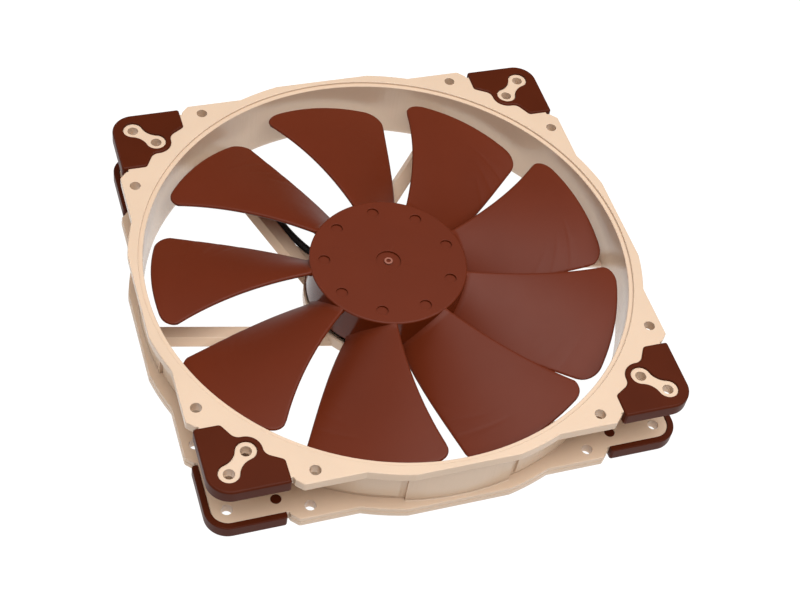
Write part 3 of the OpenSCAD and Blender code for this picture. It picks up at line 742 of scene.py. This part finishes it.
# Arcs of a pad's inner side: centre, radius, start and end in degrees, steps
PAD_SHOULDER = [((84.4, 66), 1.8, 270, 210, 6), ((77.35, 67), 3.8, 30, 86, 7)]
BOSS_BUMP_R = 6.2
PEG_R, PEG_NEAR, PEG_FAR = 2.0, 66.6, 84.6
PEG_Z, PEG_H = 1.2, 4.1
GROOVE_FROM, GROOVE_R = 12.1, 97.0  # degrees from the middle of a side, and radius
PANEL_FROM, PANEL_R = 13.5, 97.8
PANEL_EDGE, PANEL_SLOPE = 2.2, 0.5
WALL_FILLET = 0.7
BASE_R, BASE_FLOOR_Z, BASE_RIM_Z = 32.4, 2.6, 6.6
BASE_WALL_T, BASE_FILLET, BASE_ROUND = 0.8, 0.5, 0.4
DISC_SEAT_R, DISC_SEAT_DEPTH = 24, 0.25
TUBE_R, TUBE_BORE_R, TUBE_TOP = 6.4, 4.6, 19.2  # round the bearing
GROMMET_HOLE_R = 2.0
STRUTS, STRUT_ANGLE = 6, 108.3
STRUT_SECTION = [(15.7, 4.2), (21.4, 4.2), (24.3, 0.82), (17.2, 0.82)]
STRUT_FOOT = 16  # how far inside the base's edge a bar starts, before the base's inside is cut
STRUT_ROUND = 0.5
LEAD_OFFSET, LEAD_Z = 14.4, 3.1
LEAD_GATE_HALF, LEAD_GATE_H = 2.4, 4  # opening in the duct wall that the lead leaves by
WEB_TOP = 1.45
WEB_OUTLINE = [(BASE_R - 5, 17.8), (BASE_R - 5, 11.6), (36, 13.0), (41, 14.6), (47, 17.4)]


def flange_outline():
    bulge_start = math.degrees(math.acos(EDGE_HALF / BULGE_R))
    bulge_end = math.degrees(math.acos(BULGE_FLAT / BULGE_R))
    corner = [(CORE_HALF, NOTCH_END), (CORE_HALF + NOTCH_LIP, NOTCH_END), (EDGE_HALF, NOTCH)]
    quarter = [(x, -y) for x, y in corner]
    quarter += arc((0, 0), BULGE_R, -bulge_start, -bulge_end, 5)
    quarter += arc((0, 0), BULGE_R, bulge_end, bulge_start, 5)
    quarter += corner[::-1]
    quarter += arc((CORNER_C, CORNER_C), CORE_HALF - CORNER_C, 0, 90, 8)
    return softened([p for k in range(4) for p in turned(quarter, 90 * k)], 1.5)


def swap(points):
    """The points mirrored in the line x = y, in the other order."""
    return [(y, x) for x, y in points[::-1]]


def pad_outline():
    """The pad from above: round outside corner, two shoulders, a bump round the screw boss."""
    half_side = [(PAD_HALF, PAD_END)]
    for values in PAD_SHOULDER:
        half_side += arc(*values)
    points = arc((CORNER_C, CORNER_C), CORNER_R, 90, 0, 16) + half_side
    points += arc((SQUARE_A / 2, SQUARE_A / 2), BOSS_BUMP_R, 272, 178, 16) + swap(half_side)
    return softened(counter_clockwise(points), 1.0, least=40)


def boss_outline():
    """Dog-bone round the two corner screw holes."""
    end, waist = 4.0, 2.45
    span = (SQUARE_B - SQUARE_A) / math.sqrt(2)
    side_r = (span * span / 4 + waist * waist - end * end) / (2 * (end - waist))
    side_y = waist + side_r
    a = math.degrees(math.atan2(side_y, span / 2))
    points = arc((0, 0), end, a, 360 - a, 24)
    points += arc((span / 2, -side_y), side_r, 180 - a, a, 10)[1:-1]
    points += arc((span, 0), end, a - 180, 180 - a, 24)
    points += arc((span / 2, side_y), side_r, -a, a - 180, 10)[1:-1]
    return [(x + SQUARE_A / 2, y + SQUARE_A / 2) for x, y in turned(points, 45)]


def flipped(shape):
    """The exhaust side's shape carried over to the intake side."""
    points, faces = shape
    return [(x, y, DEPTH - z) for x, y, z in points], faces


def on_both_faces(shape):
    """The shape at the four corners of both faces."""
    around = [moved(shape, turn=90 * k) for k in range(4)]
    return around + [flipped(one) for one in around]


def flange_shape():
    low, high = FACE_Z, FACE_Z + FLANGE_T
    middle = (low + high) / 2
    steps = layers(low, middle, SOFT, 0)
    steps += [(z, d + PARTING_STEP) for z, d in layers(middle, high, 0, SOFT)]
    return slab(flange_outline(), steps)


def hole_shape(place):
    """Cutter for a screw hole with slightly rounded rims."""
    low, high, soft = FACE_Z, FACE_Z + FLANGE_T, 0.1
    outline = [(0, low - 2), (HOLE_R + soft, low - 2)]
    outline += arc((HOLE_R + soft, low + soft), soft, 270, 180, 3)
    outline += arc((HOLE_R + soft, high - soft), soft, 180, 90, 3)
    outline += [(HOLE_R + soft, high + 2), (0, high + 2)]
    return moved(revolved(outline, 40), shift=(place[0], place[1], 0))


def round_bar(radius, length, sides=32):
    return slab(arc((0, 0), radius, 0, 360 - 360 / sides, sides - 1), [(0, 0), (length, 0)])


def sector(outline, start, end, steps):
    """The outline turned through part of each quarter."""
    return [moved(revolved(outline, steps, start, end), turn=90 * k) for k in range(4)]


def duct_wall():
    """The wall between the flanges, grooved round a raised panel behind each corner."""
    low, high, fillet = FACE_Z + FLANGE_T, DEPTH - FACE_Z - FLANGE_T, WALL_FILLET
    outline = [(DUCT_R - 5, low - 2), (WALL_R + fillet, low - 2)]
    outline += arc((WALL_R + fillet, low + fillet), fillet, 270, 180, 5)
    outline += arc((WALL_R + fillet, high - fillet), fillet, 180, 90, 5)
    outline += [(WALL_R + fillet, high + 2), (DUCT_R - 5, high + 2)]
    wall = solid("wall", revolved(outline))
    outside = WALL_R + 2
    panel = [
        (GROOVE_R, low - 1), (outside, low - 1), (outside, high + 1), (GROOVE_R, high + 1),
        (GROOVE_R, high - PANEL_EDGE), (PANEL_R, high - PANEL_EDGE - PANEL_SLOPE),
        (PANEL_R, low + PANEL_EDGE + PANEL_SLOPE), (GROOVE_R, low + PANEL_EDGE),
    ]
    groove = box(GROOVE_R, low - 1, outside, high + 1)
    ends = sector(groove, GROOVE_FROM, PANEL_FROM + 0.1, 4)
    ends += sector(groove, 90 - PANEL_FROM - 0.1, 90 - GROOVE_FROM, 4)
    panels = sector(panel, PANEL_FROM, 90 - PANEL_FROM, 56)
    sides = LEAD_OFFSET - LEAD_GATE_HALF, LEAD_OFFSET + LEAD_GATE_HALF
    gate = box(DUCT_R - 6, sides[0], DUCT_R + 6, sides[1])
    gate = slab(gate, [(low - 1, 0), (low + LEAD_GATE_H, 0)])
    return combine(
        wall,
        "DIFFERENCE",
        solid("panels", *panels),
        solid("groove_ends", *ends),
        solid("lead_gate", moved(gate, turn=STRUT_ANGLE)),
    )


def bore_shape():
    """What is cut out of the duct: stepped inlet, straight wall, flare at the exhaust."""
    low, high, soft = FACE_Z, DEPTH - FACE_Z, 0.3
    outline = [(0, low - 2), (FLARE_R + soft, low - 2)]
    outline += arc((FLARE_R + soft, low + soft), soft, 270, 180, 4)
    outline += [(DUCT_R, FLARE_TOP_Z), (DUCT_R, high - STEP_T - STEP_EDGE)]
    outline += [(DUCT_R + STEP_EDGE, high - STEP_T), (STEP_R, high - STEP_T)]
    outline += arc((STEP_R + soft, high - soft), soft, 180, 90, 4)
    outline += [(STEP_R + soft, high + 2), (0, high + 2)]
    return revolved(outline)


def make_struts():
    """Six bars that pass the motor's middle at one side, the first with a groove for the lead."""
    section = softened(counter_clockwise(STRUT_SECTION), STRUT_ROUND)
    along = Matrix(((0, 0, 1, 0), (1, 0, 0, 0), (0, 1, 0, 0), (0, 0, 0, 1)))
    bar = moved(slab(section, [(BASE_R - STRUT_FOOT, 0), (BULGE_R, 0)]), matrix=along)
    turns = [STRUT_ANGLE + k * 360 / STRUTS for k in range(STRUTS)]
    struts = solid("struts", *(moved(bar, turn=turn) for turn in turns))
    below, above = -2, 9
    outside = revolved(box(WALL_R - 0.4, below, BULGE_R + 20, above))
    inside = slab(arc((0, 0), BASE_R - 1.2, 0, 357.5, 143), [(below, 0), (above, 0)])
    groove = moved(round_bar(LEAD_D / 2 + 0.2, 70), matrix=Matrix.Rotation(TAU / 4, 4, "Y"))
    groove = moved(moved(groove, shift=(BASE_R + 6, LEAD_OFFSET, LEAD_Z)), turn=STRUT_ANGLE)
    return combine(struts, "DIFFERENCE", solid("ends", outside, inside), solid("groove", groove))


def make_lead_web():
    """Thin web that widens the foot of the strut under the lead."""
    lift = 0.02  # level with the struts' undersides
    web = moved(slab(WEB_OUTLINE, [(FACE_Z + lift, 0), (WEB_TOP, 0)]), turn=STRUT_ANGLE)
    return solid("lead_web", web)


def make_base():
    """Round cup under the motor, with the bearing tube in its middle."""
    soft, fillet, seat_z = BASE_ROUND, BASE_FILLET, FACE_Z + DISC_SEAT_DEPTH
    outline = [(0, seat_z), (DISC_SEAT_R, seat_z), (DISC_SEAT_R, FACE_Z)]
    outline += arc((BASE_R - soft, FACE_Z + soft), soft, 270, 360, 4)
    outline += arc((BASE_R - soft, BASE_RIM_Z - soft), soft, 0, 90, 4)
    inside = BASE_R - BASE_WALL_T
    outline += [(inside, BASE_RIM_Z)]
    outline += arc((inside - fillet, BASE_FLOOR_Z + fillet), fillet, 0, -90, 4)
    outline += [(TUBE_R, BASE_FLOOR_Z), (TUBE_R, TUBE_TOP), (TUBE_BORE_R, TUBE_TOP)]
    outline += [(TUBE_BORE_R, BASE_FLOOR_Z), (0, BASE_FLOOR_Z)]
    base = solid("base", revolved(outline))
    start, ahead = Vector(LEAD_ROUTE[0]), Vector(LEAD_ROUTE[1])
    turn = (ahead - start).to_track_quat("Z", "Y").to_matrix().to_4x4()
    hole = moved(round_bar(GROMMET_HOLE_R, 8), matrix=Matrix.Translation(start) @ turn)
    return combine(base, "DIFFERENCE", solid("grommet_hole", hole))


PEG_PLACES = (PEG_NEAR, PEG_FAR), (PEG_FAR, PEG_NEAR)


def make_frame(materials):
    """One moulding: both flanges, the duct, the bosses in the pads' seats, the struts, the base."""
    flange = flange_shape()
    body = solid("frame_moulding", flange, flipped(flange))
    combine(body, "UNION", duct_wall())
    seats = on_both_faces(slab(pad_outline(), [(FACE_Z - 2, 0), (PAD_SEAT, 0)]))
    combine(body, "DIFFERENCE", solid("seats", *seats), solid("bore", bore_shape()))
    bosses = on_both_faces(slab(boss_outline(), layers(FACE_Z, PAD_SEAT + 0.6, 0.3, 0)))
    combine(body, "UNION", solid("bosses", *bosses))
    a, b, s, t = SQUARE_A / 2, SQUARE_B / 2, RECT_SHORT / 2, RECT_LONG / 2
    cuts = [hole_shape(place) for place in ((a, a), (b, b), (s, t), (t, s))]
    cuts += [moved(round_bar(PEG_R + 0.1, 8), shift=(*place, -1)) for place in PEG_PLACES]
    holes = [one for cut in cuts for one in on_both_faces(cut)]
    combine(body, "DIFFERENCE", solid("holes", *holes))
    combine(body, "UNION", make_struts(), make_base(), make_lead_web())
    finish_mesh(body, "frame_moulding", materials["frame_plastic"], "housing")
    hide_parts("frame")


def at_corner(shape, face, k):
    """The first exhaust corner's shape carried over to corner k of a face."""
    shape = moved(shape, turn=90 * k)
    return flipped(shape) if face == "intake" else shape


def make_pads(materials):
    """Pads: rounded outside, hollow over the flange's corner, with two pegs through the flange."""
    body = slab(pad_outline(), layers(0, PAD_RIM_Z, PAD_ROUND, PAD_LIP_ROUND))
    hollow = slab(flange_outline(), [(PAD_SEAT, 0), (PAD_RIM_Z + 2, 0)])
    window = [(z, -d) for z, d in layers(0, PAD_SEAT + 2, WINDOW_ROUND, 0)]
    window = slab(boss_outline(), [(-1, -WINDOW_ROUND)] + window[1:])
    pegs = [moved(round_bar(PEG_R, PEG_H), shift=(*place, PEG_Z)) for place in PEG_PLACES]
    rubber = materials["pad_rubber"]
    for face in ("intake", "exhaust"):
        for k, corner in enumerate(("rear_right", "rear_left", "front_left", "front_right")):
            pad = solid("pad", at_corner(body, face, k))
            cuts = [solid("cut", at_corner(cut, face, k)) for cut in (hollow, window)]
            combine(pad, "DIFFERENCE", *cuts)
            combine(pad, "UNION", solid("pegs", *(at_corner(peg, face, k) for peg in pegs)))
            finish_mesh(pad, f"{face}_rubber_{corner}", rubber, "housing")
            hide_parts(f"{face}_pad_{corner}")


BEVELS = {"plug_housing": 0.2, "plug_contacts": 0.08, "driver_chip": 0.1}


def dress_nodes(materials):
    """Every CAD node takes the material of its slot in the record, and some get round edges."""
    slots = {row["node"]: row["material_slot"] for row in frame["record"]["subparts"]}
    for name, obj in frame["nodes"].items():
        dress(obj, materials[slots[name]])
    for name, width in BEVELS.items():
        bevel = frame["nodes"][name].modifiers.new("round_edges", "BEVEL")
        bevel.width = width * MM
        bevel.segments = 2


# ---- Room ----

FLOOR_GLOW = 1.0
FLOOR_GREY = 0.08
FLOOR_Z, FLOOR_HALF = -0.1, 6000
WORLD_TINT, WORLD_STRENGTH = (1.0, 0.985, 0.97, 1.0), 0.15


def make_floor():
    """A white floor that glows, a hair below the pads so that the two faces don't coincide."""
    s = Shader("floor")
    s.set(rough=0.9, spec=0.1, glow=FLOOR_GLOW)
    s.bsdf.inputs["Emission Color"].default_value = (1.0, 1.0, 1.0, 1.0)
    s.join(mottled(s, (FLOOR_GREY,) * 3, 0.005, 3), s.bsdf.inputs["Base Color"])
    floor = bpy.data.objects.new("floor", bpy.data.meshes.new("floor"))
    square = box(-FLOOR_HALF, -FLOOR_HALF, FLOOR_HALF, FLOOR_HALF)
    corners = [Vector((x, y, FLOOR_Z)) * MM for x, y in square]
    floor.data.from_pydata(corners, [], [(0, 1, 2, 3)])
    bpy.context.scene.collection.objects.link(floor)
    dress(floor, s.material)


def add_light(name, at, size, power, aim=(0, 0, 0.015)):
    """A rectangular area light; places and sizes in metres, power in watts."""
    data = bpy.data.lights.new(name, "AREA")
    data.shape = "RECTANGLE"
    data.size, data.size_y = size
    data.energy = power
    light = bpy.data.objects.new(name, data)
    bpy.context.scene.collection.objects.link(light)
    light.location = at
    light.rotation_mode = "QUATERNION"
    light.rotation_quaternion = (Vector(aim) - Vector(at)).to_track_quat("-Z", "Y")


def make_lights():
    add_light("top_softbox", at=(0.1, -0.28, 1.35), size=(1.7, 1.5), power=34.5)
    add_light("back_fill", at=(-0.9, 1.1, 1.1), size=(0.8, 0.8), power=4)
    world = bpy.data.worlds.new("studio")
    world.use_nodes = True
    background = world.node_tree.nodes["Background"]
    background.inputs["Color"].default_value = WORLD_TINT
    background.inputs["Strength"].default_value = WORLD_STRENGTH
    bpy.context.scene.world = world
    bpy.context.scene.view_settings.view_transform = "Standard"


def main():
    make_camera()
    materials = make_materials()
    make_lead(materials)
    dress_nodes(materials)
    make_frame(materials)
    make_pads(materials)
    make_impeller(materials)
    make_floor()
    make_lights()


main()
